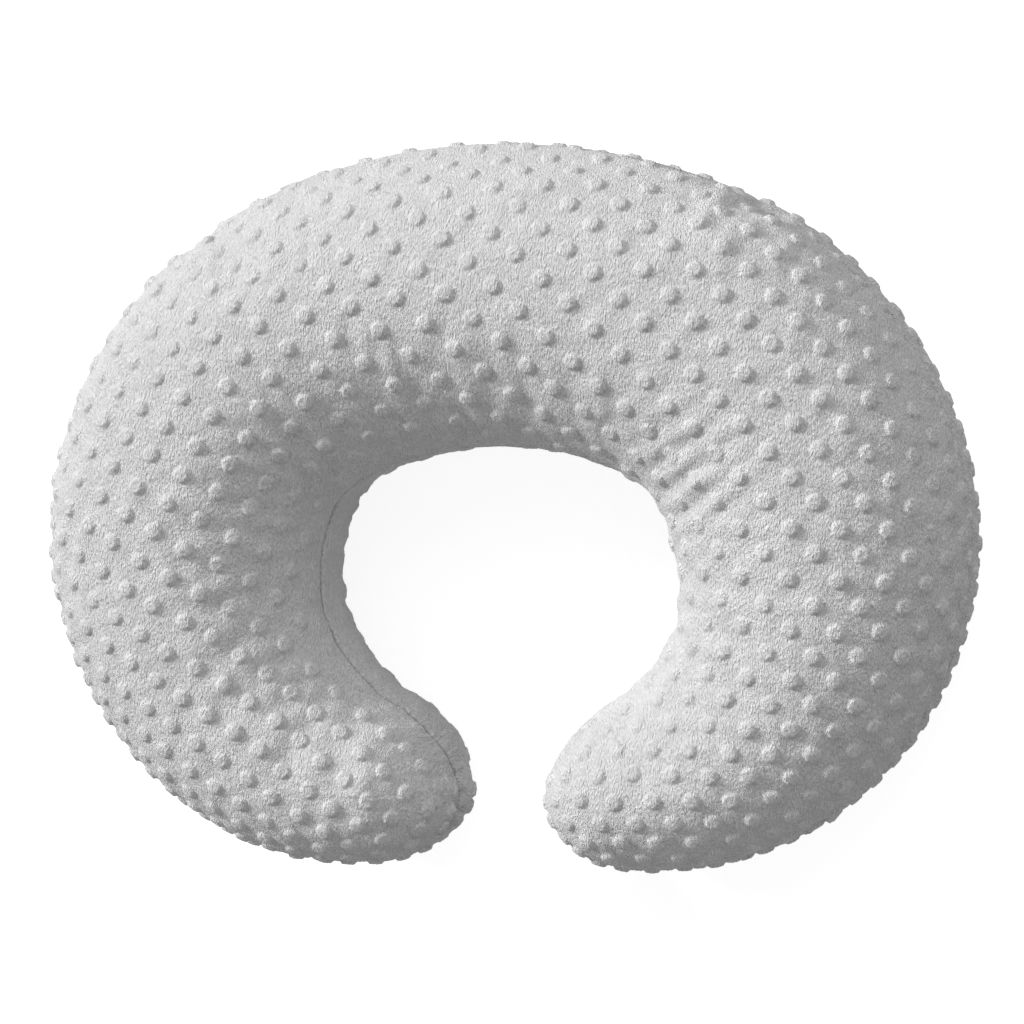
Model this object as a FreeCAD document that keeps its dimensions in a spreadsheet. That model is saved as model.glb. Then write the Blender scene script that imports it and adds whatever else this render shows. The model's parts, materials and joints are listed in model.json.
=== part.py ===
import FreeCAD, Part
import math
import os

import Sketcher
from FreeCAD import Placement, Rotation, Vector

# Nursing pillow: a C-shaped stuffed pillow inside a zipped plush slipcover.
# The pillow lies on z = 0 with the open side of the C towards -Y. Its long, tapered arms curve
# forward from the back arc. The slipcover's two panels meet at a seam that runs all round at the
# height seam_height, and the zip lies in that seam, along the back.
#
# The pillow's middle line is a chain of tangent arcs: the back arc, and an arm arc on each side of
# it. The back arc's centre is the zip's centre of curvature too, so the slider turns about the
# vertical line through it.

doc = FreeCAD.newDocument("NursingPillow")
sheet = doc.addObject("Spreadsheet::Sheet", "Sizes")

SIZES = [
    # alias, value (mm or degrees), meaning
    ("back_radius", 269.0, "radius of the middle line along the back"),
    ("back_half_angle", 25.0, "half the angle that the back arc spans"),
    ("arm_radius", 136.0, "radius of the middle line round the sides and along the arms"),
    ("back_line_y", 121.2, "Y of the middle line at the back"),
    ("arm_end", 514.0, "length of the middle line from the back to an arm's tip"),
    ("taper_start", 245.0, "length along the middle line where the arms start to taper"),
    ("tip_cap", 49.0, "length of the rounded end of an arm"),
    ("half_width", 87.0, "half of the pillow's width in plan, at the back"),
    ("tip_half_width", 47.0, "half-width where an arm's rounded end begins"),
    ("taper_power", 1.6, "how late the taper comes"),
    ("pillow_height", 145.0, "height of the crown above the floor"),
    ("arm_drop", 0.16, "share by which the crown comes down towards the seam at the tips"),
    ("seam_height", 80.0, "height of the seam between the two panels"),
    ("inner_wall_height", 65.0, "height of the inner wall's widest point"),
    ("base_share", 0.4, "share of the half-width that rests flat on the floor"),
    ("floor_cut", 1.0, "depth that the floor plane trims off the cover's underside"),
    ("fullness", 0.65, "Bezier handle share: 0.55 is an ellipse, more is fuller"),
    ("cover_thick", 2.2, "plush fabric of the slipcover"),
    ("panel_gap", 0.3, "gap between the two panels at the seam"),
    ("binding_inset", 2.6, "depth of the seam binding under the cover's face"),
    ("binding_thick", 0.8, "overlocked seam binding"),
    ("binding_half_height", 4.5, "half the height of the seam binding"),
    ("casing_inset", 7.2, "depth of the inner pillow's face under the cover's face"),
    ("casing_thick", 0.8, "woven casing of the inner pillow"),
    ("filling_inset", 8.3, "depth of the filling's face under the cover's face"),
    ("slot_half_angle", 22.6, "half the angle of the zip's opening in the cover"),
    ("slot_half_height", 5.1, "half the height of the zip's opening in the cover"),
    ("tape_half_angle", 24.0, "half the angle of the zip's tapes"),
    ("tape_inset", 4.4, "depth of the tapes' inner face under the cover's face"),
    ("tape_thick", 0.6, "woven tape"),
    ("tape_near", 0.7, "distance from the seam plane to a tape's near edge"),
    ("tape_far", 13.0, "distance from the seam plane to a tape's far edge"),
    ("coil_half_angle", 22.4, "half the angle of the zip's coils"),
    ("coil_thick", 2.0, "coil, measured outward"),
    ("coil_near", 0.6, "distance from the seam plane to a coil's near side"),
    ("coil_far", 2.9, "distance from the seam plane to a coil's far side"),
    ("part_gap", 0.1, "gap between pieces that are sewn or crimped together"),
    ("slider_gap", 0.35, "running gap of the slider round the coils and tapes"),
    ("slider_length", 12.0, "slider along the zip"),
    ("slider_width", 9.0, "slider across the zip"),
    ("slider_plate", 1.1, "thickness of the slider's plates"),
    ("slider_web", 0.6, "thickness of the slider's middle post"),
    ("slider_web_length", 4.5, "length of the slider's middle post"),
    ("slider_angle", -20.0, "slider's place at rest, from the Y axis towards +X"),
    ("bridge_length", 8.4, "slider's bridge along the zip"),
    ("bridge_width", 2.4, "slider's bridge across the zip"),
    ("bridge_height", 3.2, "slider's bridge above the front plate"),
    ("bridge_wall", 1.1, "thickness of the bridge's feet and top"),
    ("pin_radius", 0.65, "pull tab's cross bar"),
    ("pin_height", 1.05, "cross bar's axis above the front plate"),
    ("tab_length", 27.0, "pull tab, from the cross bar to its end"),
    ("tab_width", 7.6, "pull tab across the zip"),
    ("tab_thick", 1.2, "pull tab"),
    ("tab_slot_end", 5.6, "end of the slot that clears the bridge"),
    ("tab_slot_half_width", 1.7, "half the width of that slot"),
    ("stop_length", 3.0, "length of a stop along the zip"),
    ("stop_angle", 21.7, "place of the stops, from the Y axis"),
    ("care_label_width", 32.0, "blank care label, along the seam"),
    ("law_label_width", 50.0, "blank law label, along the casing's seam"),
    ("label_drop", 17.0, "height of the labels below the seam"),
    ("label_angle", 12.0, "place of the labels, from the Y axis to either side"),
    ("label_thick", 0.3, "label fabric"),
    ("stitch_count", 12.0, "hand stitches that close the inner pillow"),
    ("stitch_length", 4.0, "length of one closing stitch"),
    ("stitch_pitch", 6.0, "distance between closing stitches"),
    ("stitch_thick", 0.5, "closing thread"),
]

for row, (alias, value, meaning) in enumerate(SIZES, start=1):
    sheet.set("A%d" % row, alias)
    sheet.set("B%d" % row, str(value))
    sheet.set("C%d" % row, meaning)
    sheet.setAlias("B%d" % row, alias)
doc.recompute()

LOFT_STATIONS = 13      # stations of the middle line from the back to where the tip's cap begins
CAP_STATIONS = 5        # stations round the cap
CAP_END_ANGLE = 78.0    # the cap's last section, where a small flat closes the loft


def size(alias):
    return float(sheet.get(alias))


# ---------------------------------------------------------------- the pillow's own shape

def middle_line(distance):
    """Point on the middle line and its outward direction, at a distance from the back."""
    back = math.radians(size("back_half_angle"))
    back_length = size("back_radius") * back
    travel = abs(distance)
    centre = Vector(0, size("back_line_y") - size("back_radius"), 0)
    radius = size("back_radius")
    heading = travel / radius
    if travel > back_length:
        joint = Vector(math.sin(back), math.cos(back), 0)
        centre = centre + joint * (radius - size("arm_radius"))
        radius = size("arm_radius")
        heading = back + (travel - back_length) / radius
    outward = Vector(math.sin(heading), math.cos(heading), 0)
    point = centre + outward * radius
    if distance < 0:
        point.x = -point.x
        outward.x = -outward.x
    return point, outward


def stations(inset):
    """(distance, half-width, crown share, cap share) of every section, from tip to tip.

    The half-widths and the tips are moved in from the cover's face by inset.
    """
    cap_start = size("arm_end") - size("tip_cap")
    loss = size("half_width") - size("tip_half_width")
    taper = cap_start - size("taper_start")
    cap_length = size("tip_cap") - inset
    half = []
    for index in range(LOFT_STATIONS):
        distance = cap_start * index / (LOFT_STATIONS - 1)
        along = max(0.0, distance - size("taper_start")) / taper
        width = size("half_width") - loss * along ** size("taper_power") - inset
        half.append((distance, width, 1.0 - size("arm_drop") * along, 1.0))
    for index in range(1, CAP_STATIONS + 1):
        angle = math.radians(CAP_END_ANGLE * index / CAP_STATIONS)
        reach = cap_length * math.sin(angle)
        lean = size("taper_power") * loss / taper * reach / 2
        width = (size("tip_half_width") - inset - lean) * math.cos(angle)
        crown_share = (1.0 - size("arm_drop")) * math.cos(angle)
        half.append((cap_start + reach, width, crown_share, math.cos(angle)))
    mirrored = [(-station[0],) + station[1:] for station in reversed(half[1:])]
    return mirrored + half


def section(distance, half, crown_share, cap_share, inset, floor_height):
    """Closed section wire of the pillow, moved in from the cover's face by inset."""
    origin, outward = middle_line(distance)
    seam = size("seam_height")
    crown = seam + (size("pillow_height") - seam - inset) * crown_share
    wall = seam + (size("inner_wall_height") - seam) * cap_share
    floor = seam + (floor_height - seam) * cap_share
    flat = half * size("base_share")
    bulge = size("fullness")

    def at(across, height):
        return origin + outward * across + Vector(0, 0, height)

    def quarter(start, end, upright_start):
        if upright_start:
            first = (start[0], start[1] + bulge * (end[1] - start[1]))
            second = (end[0] + bulge * (start[0] - end[0]), end[1])
        else:
            first = (start[0] + bulge * (end[0] - start[0]), start[1])
            second = (end[0], end[1] + bulge * (start[1] - end[1]))
        curve = Part.BezierCurve()
        curve.setPoles([at(*start), at(*first), at(*second), at(*end)])
        return curve.toShape()

    edges = [
        Part.makeLine(at(-flat, floor), at(flat, floor)),
        quarter((flat, floor), (half, seam), False),
        quarter((half, seam), (0, crown), True),
        quarter((0, crown), (-half, wall), False),
        quarter((-half, wall), (-flat, floor), True),
    ]
    return Part.Wire(edges)


def pillow_solid(name, inset, floor_height):
    """Loft through the sections, moved in by inset, with its underside at floor_height."""
    wires = [section(*station, inset, floor_height) for station in stations(inset)]
    shape = Part.makeLoft(wires, True, False)
    feature = doc.addObject("Part::Feature", name)
    feature.Shape = shape
    feature.Placement = Placement()
    return feature


# ---------------------------------------------------------------- helpers for booleans

def bind(target, prop, expression):
    target.setExpression(prop, expression)


def cut(name, base, tool):
    feature = doc.addObject("Part::Cut", name)
    feature.Base = base
    feature.Tool = tool
    return feature


def common(name, base, tool):
    feature = doc.addObject("Part::Common", name)
    feature.Base = base
    feature.Tool = tool
    return feature


def space_box(name, low, high):
    """Wide box between two heights, given as expressions of the sheet."""
    box = doc.addObject("Part::Box", name)
    bind(box, "Length", "4 * Sizes.back_radius")
    bind(box, "Width", "4 * Sizes.back_radius")
    bind(box, "Height", "(%s) - (%s)" % (high, low))
    bind(box, "Placement.Base.x", "-2 * Sizes.back_radius")
    bind(box, "Placement.Base.y", "-2 * Sizes.back_radius")
    bind(box, "Placement.Base.z", low)
    return box


def sector(name, radius, low, high, half_angle):
    """Cylinder sector about the back arc's centre, centred on the +Y direction."""
    drum = doc.addObject("Part::Cylinder", name)
    drum.Placement = Placement(Vector(), Rotation(Vector(0, 0, 1), 90 - size(half_angle)))
    bind(drum, "Radius", radius)
    bind(drum, "Height", "(%s) - (%s)" % (high, low))
    bind(drum, "Angle", "2 * Sizes.%s" % half_angle)
    bind(drum, "Placement.Base.y", "Sizes.back_line_y - Sizes.back_radius")
    bind(drum, "Placement.Base.z", low)
    return drum


def zip_window(name, half_height):
    """Space of the zip's opening: a ring sector through the cover's back wall."""
    low = "Sizes.seam_height - Sizes.%s" % half_height
    high = "Sizes.seam_height + Sizes.%s" % half_height
    far = "Sizes.back_radius + 2 * Sizes.half_width"
    near = "Sizes.back_radius"
    outside = sector(name + "_outside", far, low, high, "slot_half_angle")
    inside = sector(name + "_inside", near, low, high, "slot_half_angle")
    return cut(name, outside, inside)


# ---------------------------------------------------------------- helpers for PartDesign bodies

def body(label):
    piece = doc.addObject("PartDesign::Body", label)
    piece.Label = label
    return piece


def plane_of(piece, role):
    for feature in piece.Origin.OriginFeatures:
        if feature.Role == role:
            return feature
    raise ValueError(role)


def box_sketch(piece, name, role, low_x, high_x, low_y, high_y):
    """Rectangle on one of the body's origin planes. The four sides are expressions."""
    sketch = piece.newObject("Sketcher::SketchObject", name)
    sketch.AttachmentSupport = [(plane_of(piece, role), "")]
    sketch.MapMode = "FlatFace"
    corners = [Vector(1, 1, 0), Vector(2, 1, 0), Vector(2, 2, 0), Vector(1, 2, 0)]
    for index in range(4):
        sketch.addGeometry(Part.LineSegment(corners[index], corners[(index + 1) % 4]), False)
    for index in range(4):
        sketch.addConstraint(Sketcher.Constraint("Coincident", index, 2, (index + 1) % 4, 1))
    for index in (0, 2):
        sketch.addConstraint(Sketcher.Constraint("Horizontal", index))
    for index in (1, 3):
        sketch.addConstraint(Sketcher.Constraint("Vertical", index))
    sides = [("low_x", "DistanceX", 0, 1, low_x), ("low_y", "DistanceY", 0, 1, low_y),
             ("high_x", "DistanceX", 2, 1, high_x), ("high_y", "DistanceY", 2, 1, high_y)]
    for side, kind, edge, end, expression in sides:
        sketch.addConstraint(Sketcher.Constraint(kind, -1, 1, edge, end, 1.0))
        number = sketch.ConstraintCount - 1
        sketch.renameConstraint(number, side)
        sketch.setExpression("Constraints." + side, expression)
    return sketch


def pad(piece, name, sketch, length):
    """Pad to both sides of the sketch."""
    feature = piece.newObject("PartDesign::Pad", name)
    feature.Profile = sketch
    feature.Midplane = True
    feature.setExpression("Length", length)
    return feature


def pocket(piece, name, sketch, length):
    """Pocket to both sides of the sketch."""
    feature = piece.newObject("PartDesign::Pocket", name)
    feature.Profile = sketch
    feature.Midplane = True
    feature.setExpression("Length", length)
    return feature


def at_zip_centre(piece, angle):
    """Place a body whose local Z axis is the zip's centre line, local X turned to angle."""
    piece.Placement = Placement(Vector(), Rotation(Vector(0, 0, 1), 90 - angle))
    bind(piece, "Placement.Base.y", "Sizes.back_line_y - Sizes.back_radius")
    bind(piece, "Placement.Base.z", "Sizes.seam_height")


def ring_piece(label, inner, outer, low, high, sweep, angle=0.0):
    """Curved strip: a rectangle turned about the zip's centre line."""
    piece = body(label)
    sketch = box_sketch(piece, label + "_profile", "XZ_Plane", inner, outer, low, high)
    turned = piece.newObject("PartDesign::Revolution", label + "_turn")
    turned.Profile = sketch
    turned.ReferenceAxis = (sketch, ["V_Axis"])
    turned.Midplane = True
    turned.setExpression("Angle", sweep)
    at_zip_centre(piece, angle)
    return piece


FACE = "Sizes.back_radius + Sizes.half_width"       # the cover's face, from the zip's centre
TAPE_INNER = FACE + " - Sizes.tape_inset"
TAPE_OUTER = TAPE_INNER + " + Sizes.tape_thick"
COIL_INNER = TAPE_OUTER + " + Sizes.part_gap"
COIL_OUTER = COIL_INNER + " + Sizes.coil_thick"
FRONT_PLATE_INNER = COIL_OUTER + " + Sizes.slider_gap"
FRONT_PLATE_OUTER = FRONT_PLATE_INNER + " + Sizes.slider_plate"
BACK_PLATE_OUTER = TAPE_INNER + " - Sizes.slider_gap"
BACK_PLATE_INNER = BACK_PLATE_OUTER + " - Sizes.slider_plate"
CASING_FACE = FACE + " - Sizes.casing_inset"
BOTH_SIDES = (("upper", 1), ("lower", -1))


# ---------------------------------------------------------------- slipcover

def slipcover():
    face = pillow_solid("cover_face", 0.0, -size("floor_cut"))
    lining = pillow_solid("cover_lining", size("cover_thick"), size("cover_thick"))
    shell = cut("cover_shell", face, lining)
    open_shell = cut("cover_with_zip_opening", shell, zip_window("zip_opening", "slot_half_height"))
    above = space_box("space_above_seam", "Sizes.seam_height + Sizes.panel_gap / 2",
                      "2 * Sizes.pillow_height")
    below = space_box("space_below_seam", "0", "Sizes.seam_height - Sizes.panel_gap / 2")
    return [common("cover_top_panel", open_shell, above),
            common("cover_bottom_panel", open_shell, below)]


def seam_binding():
    """Overlocked seam allowance inside the cover, from one end of the zip round to the other."""
    depth = size("binding_inset")
    outside = pillow_solid("binding_face", depth, depth)
    depth = depth + size("binding_thick")
    inside = pillow_solid("binding_back", depth, depth)
    sleeve = cut("binding_sleeve", outside, inside)
    band = space_box("binding_band", "Sizes.seam_height - Sizes.binding_half_height",
                     "Sizes.seam_height + Sizes.binding_half_height")
    ring = common("binding_ring", sleeve, band)
    low = "Sizes.seam_height - Sizes.tape_far"
    high = "Sizes.seam_height + Sizes.tape_far"
    far = sector("binding_stop_far", "Sizes.back_radius + 2 * Sizes.half_width", low, high,
                 "tape_half_angle")
    near = sector("binding_stop_near", "Sizes.back_radius", low, high, "tape_half_angle")
    return [cut("cover_seam_binding", ring, cut("binding_stop", far, near))]


# ---------------------------------------------------------------- inner pillow

def inner_pillow():
    depth = size("casing_inset")
    face = pillow_solid("casing_face", depth, depth)
    depth = depth + size("casing_thick")
    back = pillow_solid("casing_back", depth, depth)
    shell = cut("casing_shell", face, back)
    above = space_box("casing_space_above", "Sizes.seam_height + Sizes.panel_gap / 2",
                      "2 * Sizes.pillow_height")
    below = space_box("casing_space_below", "-Sizes.pillow_height",
                      "Sizes.seam_height - Sizes.panel_gap / 2")
    filling = pillow_solid("pillow_filling", size("filling_inset"), size("filling_inset"))
    return [common("casing_top", shell, above), common("casing_bottom", shell, below), filling]


def closing_stitches():
    """Row of stitches that closes the casing after stuffing, as separate short bars."""
    radius = size("back_radius") + size("half_width") - size("casing_inset") + size("part_gap")
    outer = radius + size("stitch_thick")
    centre = Vector(0, size("back_line_y") - size("back_radius"), 0)
    count = int(size("stitch_count"))
    sweep = math.degrees(size("stitch_length") / radius)
    bars = []
    for index in range(count):
        middle = math.degrees((index - (count - 1) / 2) * size("stitch_pitch") / radius)
        height = size("seam_height") - size("stitch_thick") / 2
        foot = centre + Vector(0, 0, height)
        drum = Part.makeCylinder(outer, size("stitch_thick"), foot, Vector(0, 0, 1), sweep)
        core = Part.makeCylinder(radius, size("stitch_thick"), foot, Vector(0, 0, 1), sweep)
        bar = drum.cut(core)
        bar.rotate(foot, Vector(0, 0, 1), 90 - sweep / 2 - middle)
        bars.append(bar)
    feature = doc.addObject("Part::Feature", "casing_closing_stitches")
    feature.Shape = Part.makeCompound(bars)
    feature.Placement = Placement()
    return [feature]


# ---------------------------------------------------------------- zip

def mirrored_heights(near, far, sign):
    """Low and high expressions of a strip on one side of the seam plane."""
    if sign > 0:
        return near, far
    return "-(%s)" % far, "-(%s)" % near


def zip_tapes_and_coils():
    pieces = []
    for side, sign in BOTH_SIDES:
        low, high = mirrored_heights("Sizes.tape_near", "Sizes.tape_far", sign)
        pieces.append(ring_piece("zipper_tape_" + side, TAPE_INNER, TAPE_OUTER, low, high,
                                 "2 * Sizes.tape_half_angle"))
        low, high = mirrored_heights("Sizes.coil_near", "Sizes.coil_far", sign)
        pieces.append(ring_piece("zipper_coil_" + side, COIL_INNER, COIL_OUTER, low, high,
                                 "2 * Sizes.coil_half_angle"))
    return pieces


def zip_stops():
    """Crimped clamps over the coils: one on each coil at the closed end, one at the open end."""
    inner = COIL_OUTER + " + Sizes.part_gap"
    outer = inner + " + 0.7 * Sizes.slider_plate"
    sweep = "Sizes.stop_length / (%s) * 180 / pi" % COIL_OUTER
    pieces = []
    for side, sign in BOTH_SIDES:
        low, high = mirrored_heights("Sizes.coil_near", "Sizes.coil_far + Sizes.slider_web", sign)
        pieces.append(ring_piece("zipper_end_stop_" + side, inner, outer, low, high, sweep,
                                 -size("stop_angle")))
    low, high = "-(Sizes.coil_far + Sizes.slider_web)", "Sizes.coil_far + Sizes.slider_web"
    pieces.append(ring_piece("zipper_start_stop", inner, outer, low, high, sweep,
                             size("stop_angle")))
    return pieces


def zip_slider():
    """Two plates joined by a thin post between the coils, with a bridge for the pull tab.

    Local X points outward, local Y along the zip and local Z up.
    """
    piece = body("zipper_slider")
    half_length = "Sizes.slider_length / 2"
    half_width = "Sizes.slider_width / 2"
    front = box_sketch(piece, "front_plate_profile", "XY_Plane", FRONT_PLATE_INNER,
                       FRONT_PLATE_OUTER, "-" + half_length, half_length)
    pad(piece, "front_plate", front, "Sizes.slider_width")
    post = box_sketch(piece, "post_profile", "XY_Plane", BACK_PLATE_INNER, FRONT_PLATE_OUTER,
                      "-Sizes.slider_web_length / 2", "Sizes.slider_web_length / 2")
    pad(piece, "post", post, "Sizes.slider_web")
    back = box_sketch(piece, "back_plate_profile", "XY_Plane", BACK_PLATE_INNER,
                      BACK_PLATE_OUTER, "-" + half_length, half_length)
    pad(piece, "back_plate", back, "Sizes.slider_width")
    flange_low = "Sizes.coil_far + Sizes.slider_gap"
    for side, sign in BOTH_SIDES:
        low, high = mirrored_heights(flange_low, half_width, sign)
        flange = box_sketch(piece, "flange_profile_" + side, "XZ_Plane",
                            TAPE_OUTER + " + Sizes.slider_gap", FRONT_PLATE_OUTER, low, high)
        pad(piece, "flange_" + side, flange, "Sizes.slider_length")
    bridge = box_sketch(piece, "bridge_profile", "XY_Plane", FRONT_PLATE_INNER,
                        FRONT_PLATE_OUTER + " + Sizes.bridge_height",
                        "-Sizes.bridge_length / 2", "Sizes.bridge_length / 2")
    pad(piece, "bridge", bridge, "Sizes.bridge_width")
    eye = box_sketch(piece, "bridge_eye_profile", "XY_Plane", FRONT_PLATE_OUTER,
                     FRONT_PLATE_OUTER + " + Sizes.bridge_height - Sizes.bridge_wall",
                     "-(Sizes.bridge_length / 2 - Sizes.bridge_wall)",
                     "Sizes.bridge_length / 2 - Sizes.bridge_wall")
    pocket(piece, "bridge_eye", eye, "2 * Sizes.bridge_width")
    at_zip_centre(piece, size("slider_angle"))
    return [piece]


def pull_tab():
    """Flat tab with a slot, and the cross bar that turns under the slider's bridge."""
    piece = body("zipper_pull_tab")
    axis = FRONT_PLATE_OUTER + " + Sizes.pin_height"
    tab = box_sketch(piece, "tab_profile", "XY_Plane", axis + " - Sizes.tab_thick / 2",
                     axis + " + Sizes.tab_thick / 2", "-Sizes.tab_length", "0")
    pad(piece, "tab", tab, "Sizes.tab_width")
    slot = box_sketch(piece, "slot_profile", "XY_Plane", axis + " - Sizes.tab_thick",
                      axis + " + Sizes.tab_thick", "-Sizes.tab_slot_end", "1")
    pocket(piece, "slot", slot, "2 * Sizes.tab_slot_half_width")
    bar = piece.newObject("Sketcher::SketchObject", "bar_profile")
    bar.AttachmentSupport = [(plane_of(piece, "XY_Plane"), "")]
    bar.MapMode = "FlatFace"
    bar.addGeometry(Part.Circle(Vector(1, 0, 0), Vector(0, 0, 1), 0.5), False)
    bar.addConstraint(Sketcher.Constraint("Radius", 0, 0.5))
    bar.addConstraint(Sketcher.Constraint("DistanceX", -1, 1, 0, 3, 1.0))
    bar.addConstraint(Sketcher.Constraint("PointOnObject", 0, 3, -1))
    bar.setExpression("Constraints[0]", "Sizes.pin_radius")
    bar.setExpression("Constraints[1]", axis)
    pad(piece, "cross_bar", bar, "Sizes.tab_width")
    at_zip_centre(piece, size("slider_angle"))
    return [piece]


# ---------------------------------------------------------------- labels

def labels():
    """Blank care label on the cover's inside and blank law label on the inner pillow."""
    inner = CASING_FACE + " + 2 * Sizes.part_gap"
    outer = inner + " + Sizes.label_thick"
    low = "-(Sizes.label_drop + Sizes.part_gap)"
    high = "-Sizes.part_gap"
    pieces = []
    for name, side in (("care_label", -1), ("law_label", 1)):
        sweep = "Sizes.%s_width / (%s) * 180 / pi" % (name, FACE)
        pieces.append(ring_piece(name, inner, outer, low, high, sweep, side * size("label_angle")))
    return pieces


nodes = []
for build in (slipcover, seam_binding, inner_pillow, closing_stitches, zip_tapes_and_coils,
              zip_stops, zip_slider, pull_tab, labels):
    nodes.extend(build())

doc.recompute()

for item in doc.Objects:
    if "Invalid" in item.State or "Error" in item.State:
        raise RuntimeError("%s is %s" % (item.Label, item.State))

os.makedirs("parts", exist_ok=True)
for node in nodes:
    if node.Shape.isNull() or not node.Shape.isValid():
        raise RuntimeError("%s has no valid shape" % node.Label)
    node.Shape.exportStep(os.path.join("parts", node.Label + ".step"))
    box = node.Shape.BoundBox
    print("%-26s solids %2d  volume %10.1f  x %.1f..%.1f  y %.1f..%.1f  z %.1f..%.1f" % (
        node.Label, len(node.Shape.Solids), node.Shape.Volume, box.XMin, box.XMax, box.YMin,
        box.YMax, box.ZMin, box.ZMax))
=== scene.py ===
import json
import math

import bmesh
import bpy
import numpy as np
from mathutils import Matrix, Vector, geometry, kdtree


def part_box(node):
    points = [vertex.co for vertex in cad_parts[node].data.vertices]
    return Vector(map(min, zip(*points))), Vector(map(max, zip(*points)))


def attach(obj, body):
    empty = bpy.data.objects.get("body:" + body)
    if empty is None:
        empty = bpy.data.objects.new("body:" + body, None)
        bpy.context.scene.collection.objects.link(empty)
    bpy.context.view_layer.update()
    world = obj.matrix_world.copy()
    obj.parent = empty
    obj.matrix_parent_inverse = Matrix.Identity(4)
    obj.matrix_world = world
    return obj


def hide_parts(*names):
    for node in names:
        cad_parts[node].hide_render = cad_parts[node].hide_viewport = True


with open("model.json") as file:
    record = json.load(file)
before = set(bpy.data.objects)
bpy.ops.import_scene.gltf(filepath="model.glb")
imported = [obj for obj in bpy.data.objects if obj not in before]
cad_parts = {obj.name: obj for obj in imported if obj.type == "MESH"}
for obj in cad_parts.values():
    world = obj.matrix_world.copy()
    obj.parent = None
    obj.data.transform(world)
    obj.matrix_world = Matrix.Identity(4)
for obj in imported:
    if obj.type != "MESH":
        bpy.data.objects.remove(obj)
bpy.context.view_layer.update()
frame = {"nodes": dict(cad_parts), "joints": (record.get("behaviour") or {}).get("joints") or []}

rng = np.random.default_rng(7)

# ---- sizes, in metres
# The pillow's middle line is a back arc and an arm arc on each side, as in the frame.

JOINTS = {joint["name"]: joint for joint in frame["joints"]}
ZIP_CENTRE = Vector(JOINTS["zipper_slider_travel"]["pos_m"])
COVER_HIGH = Vector(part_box("cover_top_panel")[1])

SEAM_HEIGHT = ZIP_CENTRE.z
FACE_RADIUS = COVER_HIGH.y - ZIP_CENTRE.y  # the cover's back face, from the zip's centre
HALF_WIDTH = 0.087
BACK_RADIUS = FACE_RADIUS - HALF_WIDTH
BACK_ANGLE = math.radians(25)
ARM_RADIUS = 0.136
TAPER_START = 0.245
CAP_START = 0.465
CAP_LENGTH = 0.049
CAP_TURN = 0.999  # share of its quarter turn that an arm's end is followed for
TIP_HALF_WIDTH = 0.047
TAPER_POWER = 1.6
CROWN_HEIGHT = COVER_HIGH.z
INNER_WALL_HEIGHT = 0.065
CROWN_DROP = 0.16
BASE_SHARE = 0.4
FULLNESS = 0.65

COVER_THICK = 0.0022
BINDING_INSET = 0.0026
BINDING_THICK = 0.0008
BINDING_HALF_HEIGHT = 0.0045
CASING_INSET = 0.0072
CASING_THICK = 0.0008
FILLING_INSET = 0.0083
TAPE_THICK = 0.0006
COIL_THICK = 0.0020
LABEL_THICK = 0.0003
LABEL_ANGLE = math.radians(12)
CARE_LABEL_WIDTH = 0.032
LAW_LABEL_WIDTH = 0.050
PART_GAP = 0.0001
TAPE_HALF_ANGLE = math.radians(24)
ZIP_HALF_ANGLE = math.radians(22.6)
ZIP_HALF_HEIGHT = 0.0051
ZIP_FULL_SHARE = 0.35  # share of zip_nearness's reach that counts as on the zip
OPENING_ENDS = (0.004, 0.012)  # angles past and before the zip's end: its opening closes there
OPENING_REACH = 0.026  # height from the zip where the opening no longer moves the plush
BACK_DEPTH = 0.03  # how far in from the back face still counts as the back
COIL_WIRE = 0.00032
COIL_PITCH = 0.0014  # distance between a coil's turns
COIL_SHARE = 0.998  # share of the tape's angle that a coil takes
STITCH_LENGTH = 0.004
BINDING_STEP = 0.0007
BINDING_WRAP = 0.0028  # distance between turns of the binding's thread
BEVEL_WIDTH = 0.00018

TINY = 1e-6
CLOTH_CELL = 0.0066  # cell of the mesh that the cloth simulation runs on
OUTER_STRETCH = 0.90  # flat width of the cut over the real distance, outside the crown
INNER_STRETCH = 0.79  # the same, inside the crown
CAP_CUT = 0.078  # length of the cut round an arm's rounded end
LINE_CLEAR = 0.4  # in cells: no inner point is closer to the middle line
EDGE_CLEAR = 0.62  # in cells: no inner point is closer to the cut's edge
GRID_LEFT = 8  # in cells: the grid's reach past the middle line
GRID_WIDE, GRID_LONG = 0.35, 0.3

# The cloth: where it is eased, how it behaves, and what is kept of its move.
PUCKER_MIDDLE, PUCKER_SPREAD = 0.024, 0.022  # distance from the seam of the extra cloth
PLAIN_EASE = 0.40  # share of the extra cloth away from the seam
START_NOISE = 0.0006
ZIP_HELD = 0.012  # the cloth is held still this close to the zip
CLOTH_SETTINGS = {
    "quality": 5, "mass": 0.25, "tension_stiffness": 18, "compression_stiffness": 12,
    "shear_stiffness": 8, "bending_stiffness": 0.6, "use_pressure": True,
    "uniform_pressure_force": 30.0, "vertex_group_shrink": "ease", "shrink_min": 0.04,
    "shrink_max": -0.06, "vertex_group_mass": "held",
}
BROAD_STEPS = 70  # smoothing that leaves only the broad part of the move
FOLD_GAIN = 1.4  # how strongly the simulated puckers show
FOLD_LIMIT = 0.0050
ZIP_STILL = 0.030  # the move fades out this close to the zip
SETTLED_LOW, COVER_LOWEST = 0.0004, 0.0002  # lowest points of the cloth and of its plush
SHELL_STEPS = 2
CASING_PUCKER = 0.0007
CASING_GATHERED = (0.012, 0.010)  # distance from the seam and spread of the casing's gathers
FIBRE_LUMPS, FIBRE_TUFTS = 0.0012, 0.0008

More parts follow.
